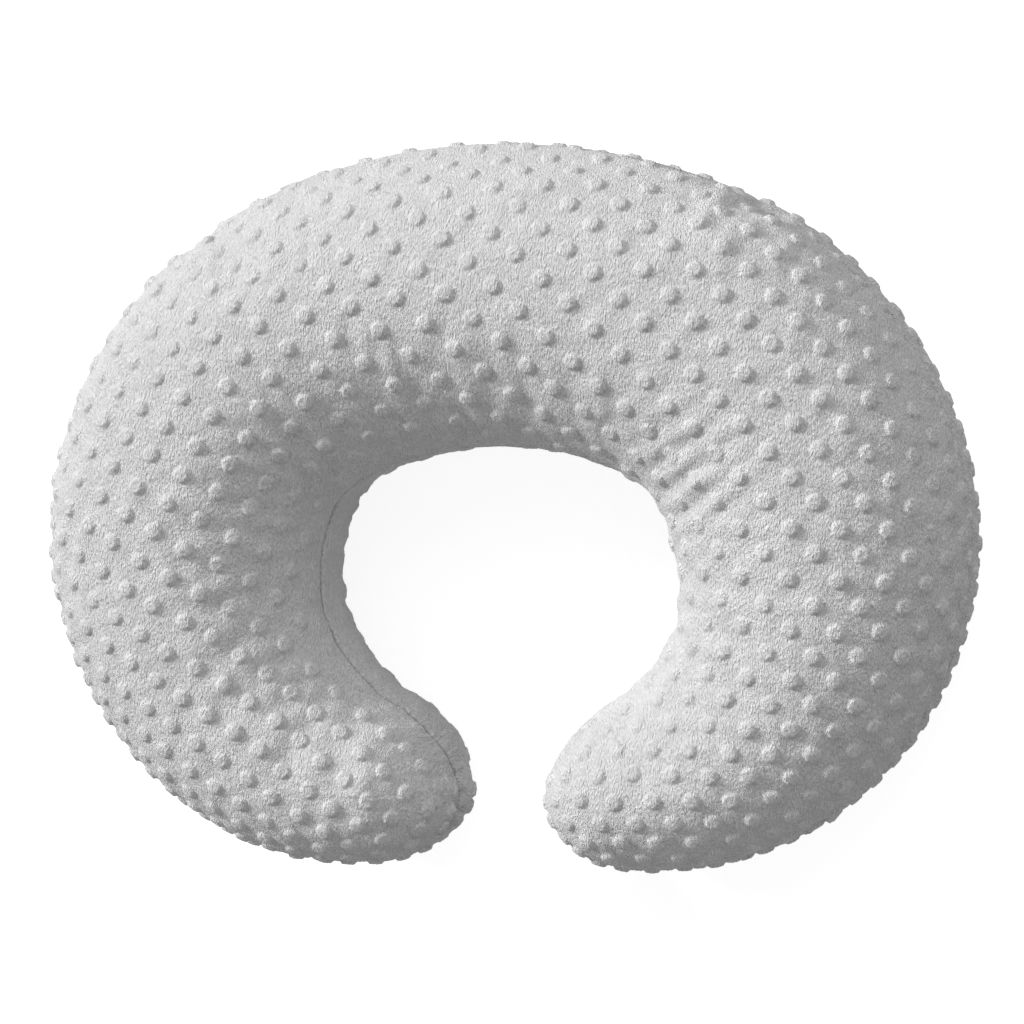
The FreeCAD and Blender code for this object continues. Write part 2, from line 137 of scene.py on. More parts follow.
# The ridges where the seam gathers the plush: strong at the back right, faint elsewhere.
INNER_FADE = (0.010, -0.030)  # across the middle line, from the outer to the inner half
RIDGE_MIDDLE, RIDGE_SPREAD = 0.062, 0.034  # distance from the seam
STRONG_MIDDLE, STRONG_SPREAD = 0.20, 0.060  # distance along the middle line
STRONG_LEVEL = (0.50, 0.87)  # direction across the strong ridges
STRONG_PITCH, STRONG_HEIGHT = 0.0145, 0.0011
FAINT_PITCH, FAINT_HEIGHT = 0.030, 0.0006

DOT_RADIUS = 0.0052
DOT_HEIGHT = 0.0019
DOT_PITCH = 0.0262  # along a row of dots; rows are offset by half of it
DOT_ROW = 0.0139
ROW_BEND = 1.3  # radius of the gentle curve that the rows of dots follow
ROW_MIDDLE = (0.14, 0.02)  # the place on the cut of the middle dot
DOT_ROWS, DOT_COLUMNS = 24, 20  # on each side of the middle dot
DOT_CATCH = 0.0016  # a dot needs a point of the panel this close to its place
SIDE_SLACK = 0.001  # keeps the points of the line between the two sides on both
DOT_SHOULDER = (1.05, 0.68)  # in dot radii: where a dot begins and where it is full
DOT_RIM_LEVEL, DOT_ROUNDING = 0.85, 0.25
DOT_FREE = (0.001, 0.007)  # distance from the seam where dots begin and are full
SQUEEZE = 0.58  # how much the dots by the inner seam are flattened
SQUEEZE_REACH = (0.005, 0.026)
GROOVE_DEPTH, GROOVE_SPREAD = 0.0027, 0.0015
ZIP_UNGROOVED = 0.016  # the seam's groove fades out this close to the zip
PILE_NOISE = 0.00012
RESTING_HEIGHT = (0.0005, 0.006)  # the plush lies flat below the first height
WAVE_PERIOD = 0.314  # of Blender's wave texture, in its own units
FLOOR_HALF = 40.0

BACK_LENGTH = BACK_RADIUS * BACK_ANGLE
CUT_LENGTH = CAP_START + CAP_CUT
ARM_CENTRE = np.array([(BACK_RADIUS - ARM_RADIUS) * math.sin(BACK_ANGLE),
                       ZIP_CENTRE.y + (BACK_RADIUS - ARM_RADIUS) * math.cos(BACK_ANGLE)])


# ---- the pillow's shape

def line_point(distance, across):
    """Plan points of the right half, at distances along the middle line and across it."""
    distance = np.asarray(distance, float)
    in_back = distance <= BACK_LENGTH
    arm_heading = BACK_ANGLE + (distance - BACK_LENGTH) / ARM_RADIUS
    heading = np.where(in_back, distance / BACK_RADIUS, arm_heading)
    radius = np.where(in_back, BACK_RADIUS, ARM_RADIUS) + across
    centre_x = np.where(in_back, 0.0, ARM_CENTRE[0])
    centre_y = np.where(in_back, ZIP_CENTRE.y, ARM_CENTRE[1])
    return np.stack([centre_x + radius * np.sin(heading), centre_y + radius * np.cos(heading)], -1)


def line_place(points):
    """Distances along the middle line and across it, for plan points of the right half."""
    from_back = points - np.array([0.0, ZIP_CENTRE.y])
    from_arm = points - ARM_CENTRE
    back_heading = np.arctan2(from_back[:, 0], from_back[:, 1])
    arm_heading = np.mod(np.arctan2(from_arm[:, 0], from_arm[:, 1]), 2 * math.pi)
    back_reach = np.hypot(from_back[:, 0], from_back[:, 1])
    in_back = (back_heading >= -TINY) & (back_heading <= BACK_ANGLE)
    in_back &= back_reach > BACK_RADIUS - ARM_RADIUS
    distance = np.where(in_back, back_heading * BACK_RADIUS,
                        BACK_LENGTH + (arm_heading - BACK_ANGLE) * ARM_RADIUS)
    across = np.where(in_back, back_reach - BACK_RADIUS,
                      np.hypot(from_arm[:, 0], from_arm[:, 1]) - ARM_RADIUS)
    return distance, across


def quarter(start, end, upright_start, share):
    """Points of one quarter of a section, as a cubic curve from start to end."""
    start, end = np.array(start), np.array(end)
    leaving = np.array([0, 1]) if upright_start else np.array([1, 0])
    first = start + FULLNESS * (end - start) * leaving
    second = end + FULLNESS * (start - end) * (1 - leaving)
    share = share[:, None]
    rest = 1 - share
    return rest ** 3 * start + 3 * rest ** 2 * share * first + 3 * rest * share ** 2 * second \
        + share ** 3 * end


def running_total(steps):
    return np.concatenate([[0.0], np.cumsum(steps)])


def by_length(points, count):
    """(total length, count points evenly spaced along a polyline)."""
    steps = np.hypot(*np.diff(points, axis=0).T)
    travelled = running_total(steps)
    wanted = np.linspace(0, travelled[-1], count)
    even = np.stack([np.interp(wanted, travelled, points[:, axis]) for axis in (0, 1)], -1)
    return travelled[-1], even


def section_tables(stations=140, samples=61, quarter_points=80):
    """Section curves along the cut: for the top and the bottom panel, (across, height) from the
    inner seam through the middle to the outer seam, with the cut's inner and outer half-widths."""
    along = np.linspace(0, CUT_LENGTH, stations)
    share = np.linspace(0, 1, quarter_points)
    half = samples // 2 + 1
    curves = {"top": [], "bottom": []}
    widths = []
    distances = []
    loss = HALF_WIDTH - TIP_HALF_WIDTH
    taper = CAP_START - TAPER_START
    for cut_distance in along:
        angle = min(max(cut_distance - CAP_START, 0.0) / CAP_CUT, CAP_TURN) * math.pi / 2
        tapered = min(max(cut_distance - TAPER_START, 0.0) / taper, 1.0)
        reach = CAP_LENGTH * math.sin(angle)
        width = HALF_WIDTH - loss * tapered ** TAPER_POWER
        if angle > 0:
            width = (width - TAPER_POWER * loss / taper * reach / 2) * math.cos(angle)
        cap = math.cos(angle)
        crown = SEAM_HEIGHT + (CROWN_HEIGHT - SEAM_HEIGHT) * (1 - CROWN_DROP * tapered) * cap
        wall = SEAM_HEIGHT + (INNER_WALL_HEIGHT - SEAM_HEIGHT) * cap
        floor = SEAM_HEIGHT * (1 - cap)
        flat = width * BASE_SHARE
        inner_upper = quarter((0, crown), (-width, wall), False, share)
        above = inner_upper[:, 1] >= SEAM_HEIGHT
        seam_across = np.interp(-SEAM_HEIGHT, -inner_upper[:, 1], inner_upper[:, 0])
        inner_top = np.vstack([inner_upper[above], [[seam_across, SEAM_HEIGHT]]])
        outer_top = quarter((0, crown), (width, SEAM_HEIGHT), False, share)
        below_seam = np.vstack([[[seam_across, SEAM_HEIGHT]], inner_upper[~above]])
        inner_low = quarter((-width, wall), (-flat, floor), True, share)
        inner_bottom = np.vstack([[[0, floor]], inner_low[::-1], below_seam[::-1]])
        outer_low = quarter((flat, floor), (width, SEAM_HEIGHT), False, share)
        outer_bottom = np.vstack([[[0, floor]], outer_low])
        lengths = []
        for panel, inner, outer in (("top", inner_top, outer_top),
                                    ("bottom", inner_bottom, outer_bottom)):
            inner_length, inner_even = by_length(inner, half)
            outer_length, outer_even = by_length(outer, half)
            curves[panel].append(np.vstack([inner_even[::-1], outer_even[1:]]))
            lengths.append((inner_length, outer_length))
        widths.append(np.mean(lengths, axis=0))
        distances.append(min(cut_distance, CAP_START) + reach)
    widths = np.array(widths) * np.array([INNER_STRETCH, OUTER_STRETCH])
    return along, np.array(distances), widths, {k: np.array(v) for k, v in curves.items()}


ALONG, DISTANCES, CUT_WIDTHS, SECTIONS = section_tables()


def cut_half_widths(distance):
    inner = np.interp(distance, ALONG, CUT_WIDTHS[:, 0])
    outer = np.interp(distance, ALONG, CUT_WIDTHS[:, 1])
    return inner, outer


def cell(share, count):
    """(number of the table's line before a share of its length, share of the way to the next)."""
    place = share * (count - 1)
    low = np.clip(place.astype(int), 0, count - 2)
    return low, (place - low)[:, None]


def stuffed(flat_points, panel):
    """3-D places of points of the right half's flat cut, once it is sewn and stuffed."""
    distance, across = line_place(flat_points)
    distance = np.clip(distance, 0, CUT_LENGTH)
    inner, outer = cut_half_widths(distance)
    share = np.where(across < 0, across / np.maximum(inner, TINY), across / np.maximum(outer, TINY))
    table = SECTIONS[panel]
    row, row_part = cell(distance / CUT_LENGTH, table.shape[0])
    column, column_part = cell((np.clip(share, -1, 1) + 1) / 2, table.shape[1])
    near, far = (table[line, column] * (1 - column_part) + table[line, column + 1] * column_part
                 for line in (row, row + 1))
    profile = near * (1 - row_part) + far * row_part
    plan = line_point(np.interp(distance, ALONG, DISTANCES), profile[:, 0])
    return np.column_stack([plan, profile[:, 1]])


# ---- the flat cut

def cut_outline(steps_along=400, steps_round=60):
    """Outline of the right half's flat cut, from the back's outer edge round to its inner edge."""
    turn = np.linspace(0, math.pi / 2, steps_round)
    along = np.concatenate([np.linspace(0, CAP_START, steps_along),
                            CAP_START + CAP_CUT * np.sin(turn)[1:]])
    inner, outer = cut_half_widths(along)
    outer[-1] = 0.0
    dense = np.vstack([line_point(along, outer), line_point(along[::-1], -inner[::-1])[1:]])
    length = np.hypot(*np.diff(dense, axis=0).T).sum()
    outline = by_length(dense, int(length / CLOTH_CELL) + 1)[1]
    outline[[0, -1], 0] = 0.0
    return outline


def flat_half():
    """(points, faces, on_outline) of the right half's cut, meshed with near-square cells."""
    outline = cut_outline()
    rows = np.arange(math.ceil(outline[-1, 1] / CLOTH_CELL + LINE_CLEAR),
                     math.floor(outline[0, 1] / CLOTH_CELL - LINE_CLEAR) + 1) * CLOTH_CELL
    middle = np.column_stack([np.zeros(len(rows)), rows])
    ring = np.vstack([outline, middle])
    columns = np.arange(-GRID_LEFT, math.ceil(GRID_WIDE / CLOTH_CELL))
    lines = np.arange(math.floor(-GRID_LONG / CLOTH_CELL), math.ceil(GRID_LONG / CLOTH_CELL))
    grid = np.stack(np.meshgrid(columns, lines, indexing="ij"), -1).reshape(-1, 2) * CLOTH_CELL
    distance, across = line_place(grid)
    inner, outer = cut_half_widths(distance)
    inside = (distance > LINE_CLEAR * CLOTH_CELL) & (distance < CUT_LENGTH)
    inside &= (across < outer) & (across > -inner)
    grid = grid[inside]
    gap = np.sqrt(((grid[:, None] - ring[None]) ** 2).sum(-1)).min(1)
    grid = grid[gap > EDGE_CLEAR * CLOTH_CELL]
    points = np.vstack([ring, grid])
    edges = [(index, (index + 1) % len(ring)) for index in range(len(ring))]
    vectors = [Vector(point) for point in points]
    result = geometry.delaunay_2d_cdt(vectors, edges, [], 1, 1e-7)
    made = np.array([tuple(vector) for vector in result[0]])
    on_outline = np.array([any(source < len(outline) for source in group)
                           for group in result[3]])
    return made, [tuple(face) for face in result[2]], on_outline


def whole_cut():
    """(flat points, side, faces, on_outline) of the whole cut. side is 1 right, -1 left."""
    points, faces, on_outline = flat_half()
    shared = (np.abs(points[:, 0]) < TINY) & (points[:, 1] > 0)
    left_points = points[~shared] * np.array([-1, 1])
    all_points = np.vstack([points, left_points])
    side = np.concatenate([np.ones(len(points)), -np.ones(len(left_points))])
    outline = np.concatenate([on_outline, on_outline[~shared]])
    left_faces = reversed_faces(faces, welded_numbers(shared))
    return all_points, side, faces + left_faces, outline


def welded_numbers(shared):
    """Numbers for a second copy of points, of which the shared ones are welded to the first."""
    numbers = len(shared) + np.cumsum(~shared) - 1
    numbers[shared] = np.nonzero(shared)[0]
    return numbers


def reversed_faces(faces, index):
    """The faces turned over, on other points: index gives each point's new number."""
    return [tuple(int(index[corner]) for corner in reversed(face)) for face in faces]


def stuffed_whole(points, side, panel):
    """3-D places of points of the whole cut."""
    mirrored = points * np.column_stack([side, np.ones(len(side))])
    placed = stuffed(mirrored, panel)
    placed[:, 0] *= side
    return placed


# ---- mesh helpers

def linked(name, data):
    """New object of a mesh, lamp or camera, in the scene."""
    made = bpy.data.objects.new(name, data)
    bpy.context.scene.collection.objects.link(made)
    return made


def new_object(name, vertices, faces):
    mesh = bpy.data.meshes.new(name)
    mesh.from_pydata([tuple(v) for v in vertices], [], faces)
    mesh.update()
    return linked(name, mesh)


def vectors_of(data, key):
    """The values of a vector property or attribute, as rows."""
    values = np.empty(len(data) * 3)
    data.foreach_get(key, values)
    return values.reshape(-1, 3)


def coordinates(mesh):
    return vectors_of(mesh.vertices, "co")


def move_points(mesh, points):
    """Moves the mesh's points."""
    mesh.vertices.foreach_set("co", points.ravel())
    mesh.update()


def normals(mesh):
    return vectors_of(mesh.vertices, "normal")


def cut_places(mesh):
    """Each point's place on the flat cut, and its side."""
    return vectors_of(mesh.attributes["cut"].data, "vector")


def add_values(mesh, name, kind, domain, values):
    """New attribute of one number or vector for each point or face."""
    key = "vector" if kind == "FLOAT_VECTOR" else "value"
    mesh.attributes.new(name, kind, domain).data.foreach_set(key, values)


def fabric_uv(mesh, places):
    """UV map "Fabric" from a flat place for each point, in metres."""
    corners = np.empty(len(mesh.loops), np.int32)
    mesh.loops.foreach_get("vertex_index", corners)
    layer = mesh.uv_layers.new(name="Fabric")
    layer.data.foreach_set("uv", places[corners].ravel())
    mesh.uv_layers.active = layer


def smooth(mesh):
    mesh.polygons.foreach_set("use_smooth", [True] * len(mesh.polygons))
    mesh.update()


def evaluated_mesh(piece):
    graph = bpy.context.evaluated_depsgraph_get()
    return bpy.data.meshes.new_from_object(piece.evaluated_get(graph), depsgraph=graph)


def search_tree(points, numbers=None):
    """Tree that finds the nearest of some points, and its number."""
    tree = kdtree.KDTree(len(points))
    for index, point in enumerate(points):
        tree.insert(point, index if numbers is None else int(numbers[index]))
    tree.balance()
    return tree


def cut_tree(cut, chosen):
    """Search tree of the chosen points' places on the flat cut."""
    return search_tree([(x, y, 0.0) for x, y in cut[chosen, :2]], chosen)


def nearest(points, targets):
    """Distance from every point to its nearest target."""
    tree = search_tree(targets)
    return np.array([tree.find(point)[2] for point in points])


def smoothstep(low, high, value):
    share = np.clip((value - low) / (high - low), 0, 1)
    return share * share * (3 - 2 * share)


def bell(middle, spread, value):
    """1 where value is middle, falling smoothly to 0 on both sides."""
    return np.exp(-((value - middle) / spread) ** 2)


def lengths_along(points):
    """Distance travelled along a polyline, at each of its points."""
    return running_total(np.linalg.norm(np.diff(points, axis=0), axis=1))


def evened(mesh, values, steps):
    """Values at the mesh's points, each step half-way to the mean of the neighbours' values."""
    edges = np.array([edge.vertices[:] for edge in mesh.edges])
    for _ in range(steps):
        total = np.zeros_like(values)
        count = np.zeros(len(values))
        for here, there in ((0, 1), (1, 0)):
            np.add.at(total, edges[:, here], values[edges[:, there]])
            np.add.at(count, edges[:, here], 1)
        values = 0.5 * values + 0.5 * (total / count[:, None])
    return values


def zip_place(points):
    """(angle from +Y about the zip's centre, radius) of 3-D points."""
    x = points[:, 0]
    y = points[:, 1] - ZIP_CENTRE.y
    return np.arctan2(x, y), np.hypot(x, y)


def zip_nearness(points, reach):
    """1 on the zip's line, falling to 0 at a distance of reach from it."""
    angle, radius = zip_place(points)
    beyond = np.maximum(np.abs(angle) - ZIP_HALF_ANGLE, 0) * FACE_RADIUS
    away = np.sqrt(beyond ** 2 + (radius - FACE_RADIUS) ** 2
                   + (points[:, 2] - SEAM_HEIGHT) ** 2)
    return 1 - smoothstep(reach * ZIP_FULL_SHARE, reach, away)


# ---- the stuffed cover, as cloth

def sewn_cover():
    """The two panels sewn along their outline, as one coarse closed mesh. The point attribute
    "cut" keeps each point's place on the flat cut, and the face attribute "panel" its panel."""
    points, side, faces, outline = whole_cut()
    top = stuffed_whole(points, side, "top")
    bottom = stuffed_whole(points, side, "bottom")
    vertices = np.vstack([top, bottom[~outline]])
    low_faces = reversed_faces(faces, welded_numbers(outline))
    piece = new_object("sewn_cover", vertices, faces + low_faces)
    mesh = piece.data
    cut = np.vstack([points, points[~outline]])
    cut = np.column_stack([cut, np.concatenate([side, side[~outline]])])
    add_values(mesh, "cut", "FLOAT_VECTOR", "POINT", cut.ravel())
    add_values(mesh, "panel", "INT", "FACE", np.repeat([1, 0], len(faces)).astype(np.int32))
    seam = np.zeros(len(vertices), bool)
    seam[:len(points)] = outline
    work = bmesh.new()
    work.from_mesh(mesh)
    bmesh.ops.recalc_face_normals(work, faces=work.faces)
    inland = [face for face in work.faces if not any(seam[v.index] for v in face.verts)]
    limit = math.radians(60)
    bmesh.ops.join_triangles(work, faces=inland, angle_face_threshold=limit,
                             angle_shape_threshold=limit)
    work.to_mesh(mesh)
    work.free()
    return piece, seam


def line_place_both(points):
    """line_place for points of both halves, taken as if on the right."""
    return line_place(np.column_stack([np.abs(points[:, 0]), points[:, 1]]))


def inner_side(points):
    """1 on the pillow's inner half, towards the waist opening, falling to 0 on its outer half."""
    return smoothstep(*INNER_FADE, line_place_both(points)[1])


def inflate(piece, seam, frames=22):
    """Runs the cloth with air pressure inside. The fabric is a little too large beside the seam,
    so it gathers into soft puckers there, and the seam itself pulls tight."""
    start = coordinates(piece.data)
    from_seam = nearest(start, start[seam])
    gathered = bell(PUCKER_MIDDLE, PUCKER_SPREAD, from_seam)
    ease = PLAIN_EASE + (1 - PLAIN_EASE) * gathered * inner_side(start)
    ease[seam] = 0.0
    group = piece.vertex_groups.new(name="ease")
    for index, weight in enumerate(ease):
        group.add([index], float(weight), "REPLACE")
    held = piece.vertex_groups.new(name="held")
    for index in np.nonzero(zip_nearness(start, ZIP_HELD) > 0.5)[0]:
        held.add([int(index)], 1.0, "REPLACE")
    rough = start + rng.normal(0, START_NOISE, start.shape)
    piece.data.vertices.foreach_set("co", rough.ravel())
    cloth = piece.modifiers.new("Cloth", "CLOTH")
    for key, value in CLOTH_SETTINGS.items():
        setattr(cloth.settings, key, value)
    cloth.settings.effector_weights.gravity = 0
    cloth.collision_settings.use_collision = False
    cloth.point_cache.frame_end = frames
    scene = bpy.context.scene
    for number in range(1, frames + 1):
        scene.frame_set(number)
    moved = coordinates(evaluated_mesh(piece))
    piece.modifiers.remove(cloth)
    scene.frame_set(1)
    return start, moved


def gathers(points, from_seam):
    """Height of the soft ridges where the seam gathers the plush, on the inner half. At the back
    right they are strongest and run side by side; elsewhere they fan out and are faint."""
    distance, across = line_place_both(points)
    signed = distance * np.where(points[:, 0] < 0, -1, 1)
    fade = bell(RIDGE_MIDDLE, RIDGE_SPREAD, from_seam) * (across < 0)
    back_right = bell(STRONG_MIDDLE, STRONG_SPREAD, signed)
    level = STRONG_LEVEL[1] * points[:, 1] - STRONG_LEVEL[0] * points[:, 0]
    side_by_side = np.sin(2 * math.pi * level / STRONG_PITCH + 0.8 * np.sin(60 * points[:, 0]))
    fanned = np.sin(2 * math.pi * signed / FAINT_PITCH + 1.1 * np.sin(31 * signed))
    return fade * (STRONG_HEIGHT * back_right * side_by_side
                   + FAINT_HEIGHT * (1 - back_right) * fanned)


def settle(mesh, start, moved):
    """Keeps the cloth's puckers and folds on the pillow's own shape: the broad part of the move
    is taken out, the rest is capped, the zip's line stays put and nothing sinks into the floor."""
    step = moved - start
    step = (step - evened(mesh, step, BROAD_STEPS)) * FOLD_GAIN
    reach = np.linalg.norm(step, axis=1)
    capped = FOLD_LIMIT * np.tanh(reach / FOLD_LIMIT) / np.maximum(reach, 1e-9)
    step = step * capped[:, None] * (1 - zip_nearness(start, ZIP_STILL))[:, None]
    result = start + step
    result[:, 2] = np.maximum(result[:, 2], SETTLED_LOW)
    return result


# ---- cover panels

def split_panel(mesh, panel, name):
    """New mesh of the faces of the "top" or "bottom" panel, with its points' attributes."""
    number = 1 if panel == "top" else 0
    work = bmesh.new()
    work.from_mesh(mesh)
    layer = work.faces.layers.int["panel"]
    unwanted = [face for face in work.faces if face[layer] != number]
    bmesh.ops.delete(work, geom=unwanted, context="FACES")
    result = bpy.data.meshes.new(name)
    work.to_mesh(result)
    work.free()
    return result


def border(mesh):
    """Mask of the points on the panel's edge."""
    uses = {}
    for polygon in mesh.polygons:
        for key in polygon.edge_keys:
            uses[key] = uses.get(key, 0) + 1
    mask = np.zeros(len(mesh.vertices), bool)
    for key, count in uses.items():
        if count == 1:
            mask[list(key)] = True
    return mask


def dot_lattice(shift):
    """Places of the raised dots on the flat cut, in gently curved rows."""
    centre = np.array([ROW_MIDDLE[0], ROW_MIDDLE[1] - ROW_BEND])
    places = []
    for row in range(-DOT_ROWS, DOT_ROWS + 1):
        radius = ROW_BEND + (row + shift) * DOT_ROW
        offset = 0.5 * (row % 2) + shift
        for column in range(-DOT_COLUMNS, DOT_COLUMNS + 1):
            angle = (column + offset) * DOT_PITCH / ROW_BEND
            places.append(centre + radius * np.array([math.sin(angle), math.cos(angle)]))
    return np.array(places)


def dot_centres(points, cut, shift):
    """3-D centres of the dots that fall on a panel."""
    lattice = dot_lattice(shift)
    centres = []
    for side in (1, -1):
        tree = cut_tree(cut, np.nonzero(cut[:, 2] * side > -SIDE_SLACK)[0])
        for x, y in lattice:
            found = tree.find((x, y, 0.0))
            if found[2] < DOT_CATCH:
                centres.append(points[found[1]])
    return np.array(centres)


def zip_opening(points, panel):
    """Moves the panel's edge away from the seam's line along the zip, so the zip shows."""
    angle, radius = zip_place(points)
    ends = smoothstep(ZIP_HALF_ANGLE + OPENING_ENDS[0], ZIP_HALF_ANGLE - OPENING_ENDS[1],
                      np.abs(angle))
    near = 1 - smoothstep(0.0, OPENING_REACH, np.abs(points[:, 2] - SEAM_HEIGHT))
    on_back = radius > FACE_RADIUS - BACK_DEPTH
    sign = 1 if panel == "top" else -1
    result = points.copy()
    result[:, 2] += sign * ZIP_HALF_HEIGHT * ends * near * on_back
    return result


def cover_panel(fine, coarse, panel, name, shift):
    """One panel of plush: dotted face, turned-in edge and plain lining."""
    mesh = split_panel(fine, panel, name)
    smooth(mesh)
    points = coordinates(mesh)
    outward = normals(mesh)
    edge = border(mesh)
    from_seam = nearest(points, points[edge])
    from_dot = nearest(points, dot_centres(points, cut_places(mesh), shift)) / DOT_RADIUS
    dome = smoothstep(*DOT_SHOULDER, from_dot)
    dome *= DOT_RIM_LEVEL + DOT_ROUNDING * (1 - np.clip(from_dot, 0, 1) ** 2)
    dome *= smoothstep(*DOT_FREE, from_seam)
    squeezed = inner_side(points)
    if panel == "top":
        squeezed = squeezed * (1 - smoothstep(*SQUEEZE_REACH, from_seam))
    dome *= 1 - SQUEEZE * squeezed
    zipped = zip_nearness(points, ZIP_UNGROOVED)
    groove = -GROOVE_DEPTH * bell(0, GROOVE_SPREAD, from_seam) * (1 - zipped)
    pile = rng.normal(0, PILE_NOISE, len(points))
    lift = DOT_HEIGHT * dome + groove + pile + gathers(points, from_seam)
    if panel == "bottom":
        lift *= smoothstep(*RESTING_HEIGHT, points[:, 2])
    placed = points + outward * lift[:, None]
    placed[:, 2] = np.maximum(placed[:, 2], COVER_LOWEST)
    move_points(mesh, zip_opening(placed, panel))
    add_values(mesh, "dot", "FLOAT", "POINT", dome)
    add_values(mesh, "seam_distance", "FLOAT", "POINT", from_seam)
    add_lining(mesh, coarse, panel, outward, edge)
    return fabric_piece(name, mesh)


def add_lining(mesh, coarse, panel, outward, edge):
    """Turns the panel's edge in by the plush's thickness and closes it with a plain lining."""
    lining = split_panel(coarse, panel, "lining")
    smooth(lining)
    inner = coordinates(lining) - normals(lining) * COVER_THICK
    move_points(lining, zip_opening(inner, panel))
    lining.flip_normals()
    work = bmesh.new()
    work.from_mesh(mesh)
    work.verts.ensure_lookup_table()
    rim = [e for e in work.edges if e.is_boundary]
    made = bmesh.ops.extrude_edge_only(work, edges=rim)["geom"]
    turned_in = [item for item in made if isinstance(item, bmesh.types.BMVert)]
    on_edge = np.nonzero(edge)[0]
    tree = search_tree(coordinates(mesh)[on_edge], on_edge)
    for vertex in turned_in:
        vertex.co -= Vector(outward[tree.find(vertex.co)[1]]) * COVER_THICK
    first_new = len(work.verts)
    work.from_mesh(lining)
    work.verts.ensure_lookup_table()
    edge_of_lining = [vertex for vertex in work.verts[first_new:] if vertex.is_boundary]
    tree = search_tree([vertex.co for vertex in edge_of_lining])
    joined = {vertex: edge_of_lining[tree.find(vertex.co)[1]] for vertex in turned_in}
    bmesh.ops.weld_verts(work, targetmap=joined)
    work.to_mesh(mesh)
    work.free()


def fabric_piece(name, mesh):
    """Smooth object of a panel or filling, with each point's flat place as its UV map."""
    fabric_uv(mesh, cut_places(mesh)[:, :2])
    smooth(mesh)
    return linked(name, mesh)


# ---- inner pillow

def inner_shell(coarse, inset):
    """The settled cover's mesh, moved in by inset and smoothed, as the layers inside it lie."""
    mesh = coarse.copy()
    smooth(mesh)
    points = evened(mesh, coordinates(mesh), SHELL_STEPS) - normals(mesh) * inset
    points[:, 2] = np.maximum(points[:, 2], inset)
    move_points(mesh, points)
    return mesh


def casing_panel(coarse, panel, name):
    """One panel of the inner pillow's woven casing, gathered a little along its seam."""
    mesh = split_panel(inner_shell(coarse, CASING_INSET), panel, name)
    smooth(mesh)
    points = coordinates(mesh)
    from_seam = nearest(points, points[border(mesh)])
    cut = cut_places(mesh)
    ripple = np.sin(cut[:, 0] * 310) * np.sin(cut[:, 1] * 270 + 0.7)
    pucker = CASING_PUCKER * ripple * bell(*CASING_GATHERED, from_seam)
    move_points(mesh, points - normals(mesh) * np.abs(pucker)[:, None])
    piece = fabric_piece(name, mesh)
    piece.modifiers.new("Subdivision", "SUBSURF").levels = 1
    wall = piece.modifiers.new("Solidify", "SOLIDIFY")
    wall.thickness = CASING_THICK
    wall.offset = -1
    return piece


def filling(coarse, name):
    """Loose fibre that fills the casing, with a lumpy surface."""
    mesh = inner_shell(coarse, FILLING_INSET)
    smooth(mesh)
    points = coordinates(mesh)
    lumps = 0.5 + 0.25 * (np.sin(points[:, 0] * 95 + 1) * np.sin(points[:, 1] * 88)
                          + np.sin(points[:, 2] * 120 + points[:, 0] * 40))
    tufts = rng.uniform(0, FIBRE_TUFTS, len(points))
    move_points(mesh, points - normals(mesh) * (FIBRE_LUMPS * lumps + tufts)[:, None])
    piece = fabric_piece(name, mesh)
    piece.modifiers.new("Subdivision", "SUBSURF").levels = 1
    return piece


# ---- zip, binding and labels

def swept(name, rings):
    """Closed mesh through rings of section points (rings, points, 3), with capped ends. UV map
    "Fabric" is the distance round the section and along it, in metres."""
    rings = np.asarray(rings)
    count, around = rings.shape[:2]
    faces = []
    for here in range(0, (count - 1) * around, around):
        for corner in range(around):
            after = (corner + 1) % around
            faces.append((here + corner, here + after, here + around + after,
                          here + around + corner))
    faces.append(tuple(reversed(range(around))))
    faces.append(tuple(range((count - 1) * around, count * around)))
    piece = new_object(name, rings.reshape(-1, 3), faces)
    steps = np.linalg.norm(np.diff(rings, axis=0), axis=2).mean(1)
    along = np.repeat(running_total(steps), around)
    fabric_uv(piece.data, np.column_stack([np.tile(lengths_along(rings[0]), count), along]))
    smooth(piece.data)
    return piece


def tube_rings(path, reference, radius, sides=8):
    """Round section points along a path; reference is a direction never parallel to it."""
    ahead = np.gradient(path, axis=0)
    ahead /= np.linalg.norm(ahead, axis=1)[:, None]
    first = np.cross(ahead, reference)
    first /= np.linalg.norm(first, axis=1)[:, None]
    second = np.cross(ahead, first)
    turn = np.linspace(0, 2 * math.pi, sides, endpoint=False)[None, :, None]
    return path[:, None] + radius * (np.cos(turn) * first[:, None] + np.sin(turn) * second[:, None])


def on_zip(angle, radius, height):
    """3-D points at an angle from +Y about the zip's centre, a radius and a height."""
    angle, radius, height = np.broadcast_arrays(angle, radius, height)
    return np.stack([radius * np.sin(angle), ZIP_CENTRE.y + radius * np.cos(angle), height], -1)


def zip_box(node):
    """(half angle, outer radius, low, high) of a CAD node that runs along the zip."""
    low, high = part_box(node)
    outer = high[1] - ZIP_CENTRE.y
    return math.asin(high[0] / outer), outer, low[2], high[2]


def band(name, half_angle, outer, low, high, thick, middle=0.0, steps=240, rows=9):
    """Thin woven band along the zip's arc, with rounded long edges and a slight ripple."""
    angle = np.linspace(-half_angle, half_angle, steps) + middle
    share = np.linspace(0, 1, rows)
    rings = []
    for number, place in enumerate(angle):
        ripple = 0.12 * thick * math.sin(number * 0.9)
        heights = low + (high - low) * share
        outside = on_zip(place, outer + ripple - 0.2 * thick, heights)
        inside = on_zip(place, outer + ripple - thick, heights[::-1])
        rings.append(np.vstack([outside, inside]))
    return swept(name, rings)


